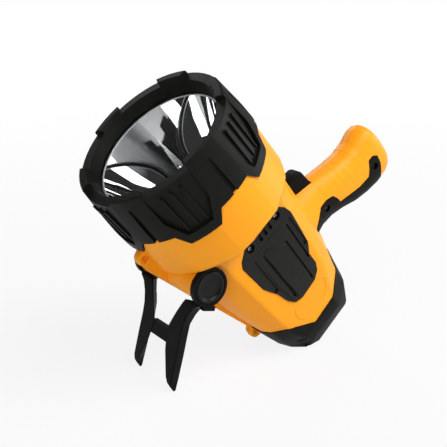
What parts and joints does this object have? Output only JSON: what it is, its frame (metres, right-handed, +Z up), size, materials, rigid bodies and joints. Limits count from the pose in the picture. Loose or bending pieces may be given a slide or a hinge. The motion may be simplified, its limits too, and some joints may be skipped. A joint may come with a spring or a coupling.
{
  "type": "led hand spotlight",
  "caption": "Handheld rechargeable LED spotlight with a pistol grip, trigger, lugged rubber bezel, wide chrome reflector and a fold-out stand.",
  "frame": {"origin": "on the floor under the centre of the lamp's bounding box, with the lamp standing on its two stand feet and the flat facet of its rear cap", "axes": "+Z up from the floor, +X level towards the front, where the beam points forward and up at about 48 degrees, +Y towards the lamp's left side as seen from behind"},
  "size_m": [0.2874, 0.1298, 0.2331],
  "materials": {
    "orange_shell": "moulded satin orange-yellow plastic",
    "black_rubber": "soft matt black overmould",
    "black_plastic": "fine-textured black plastic",
    "clear_lens": "clear polished cover",
    "chrome_finish": "vacuum-metallised mirror",
    "steel_finish": "zinc-plated steel",
    "aluminium_finish": "plain cast aluminium",
    "board_finish": "green solder mask",
    "emitter_finish": "yellow phosphor under clear resin",
    "cell_finish": "blue shrink sleeve",
    "seal_rubber": "black foam rubber"
  },
  "bodies": {
    "lamp": {"housing_left": "orange_shell", "housing_right": "orange_shell", "bezel": "black_rubber", "lens": "clear_lens", "lens_gasket": "seal_rubber", "reflector": "chrome_finish", "led_board": "aluminium_finish", "heat_sink": "aluminium_finish", "rear_cap": "black_rubber", "grip_strap": "black_rubber", "trigger_spring": "steel_finish", "switch": "black_plastic", "stand_pin_left": "black_plastic", "stand_pin_right": "black_plastic", "vent_cover_left": "black_plastic", "vent_cover_right": "black_plastic", "battery_cradle": "black_plastic", "driver_board": "board_finish", "grip_screw_lower": "steel_finish", "grip_screw_upper": "steel_finish", "keel_screw_front": "steel_finish", "keel_screw_rear": "steel_finish", "led_emitter": "emitter_finish", "battery_cell_1": "cell_finish", "battery_cell_2": "cell_finish", "battery_cell_3": "cell_finish", "battery_cell_4": "cell_finish", "vent_screw_upper_left": "steel_finish", "vent_screw_upper_right": "steel_finish", "vent_screw_lower_left": "steel_finish", "vent_screw_lower_right": "steel_finish"},
    "stand": {"stand": "black_plastic"},
    "trigger": {"trigger": "black_plastic"}
  },
  "joints": [
    {"name": "stand_fold", "type": "hinge", "parent": "lamp", "child": "stand", "pos_m": [0.07403, 0, 0.08563], "axis": [0, 1, 0], "range_deg": [0, 50]},
    {"name": "trigger_slide", "type": "slide", "parent": "lamp", "child": "trigger", "axis": [-0.6691, 0, -0.7432], "range_m": [0, 0.0055], "stiffness_N_per_m": 900, "springref_m": -0.002}
  ]
}
